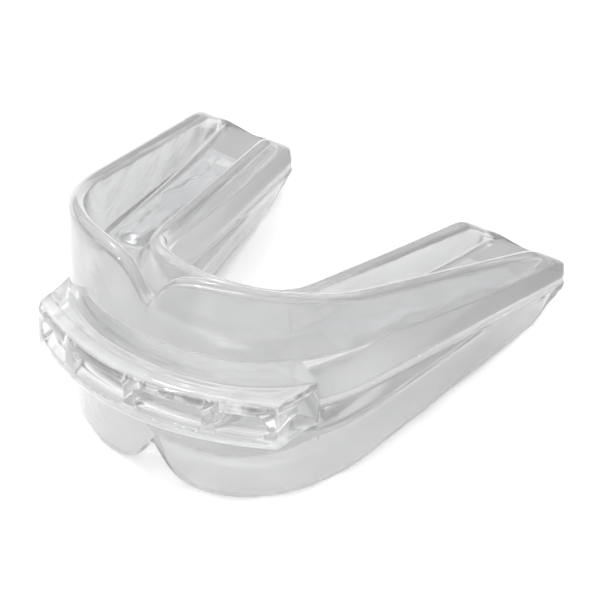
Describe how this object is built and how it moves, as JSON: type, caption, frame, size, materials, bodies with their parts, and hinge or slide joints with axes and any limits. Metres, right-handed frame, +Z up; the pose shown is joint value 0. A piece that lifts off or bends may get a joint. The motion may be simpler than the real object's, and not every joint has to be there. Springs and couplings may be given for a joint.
{
  "type": "double mouthguard",
  "caption": "Clear double mouthguard for the upper and lower teeth, with a curved breathing nozzle between the trays at the front.",
  "frame": {"origin": "centre of the bounding box's bottom face, on the ground plane that the lower tray's rims stand on", "axes": "+X towards the wearer's left arm of the arch seen from above with the nozzle in front, which is the right side seen from the front; +Y from the nozzle back towards the open rear ends; +Z up from the lower teeth to the upper teeth"},
  "size_m": [0.0628, 0.0588, 0.0348],
  "materials": {
    "upper_shell": "satin clear",
    "lower_shell": "satin clear",
    "nozzle": "glossy water clear",
    "core": "smooth clear",
    "bite_pad": "soft clear gel"
  },
  "bodies": {
    "root": {"upper_tray": "upper_shell", "lower_tray": "lower_shell", "breathing_nozzle": "nozzle", "left_core_strip": "core", "right_core_strip": "core", "upper_left_bite_pad": "bite_pad", "upper_right_bite_pad": "bite_pad", "lower_left_bite_pad": "bite_pad", "lower_right_bite_pad": "bite_pad"}
  },
  "joints": []
}
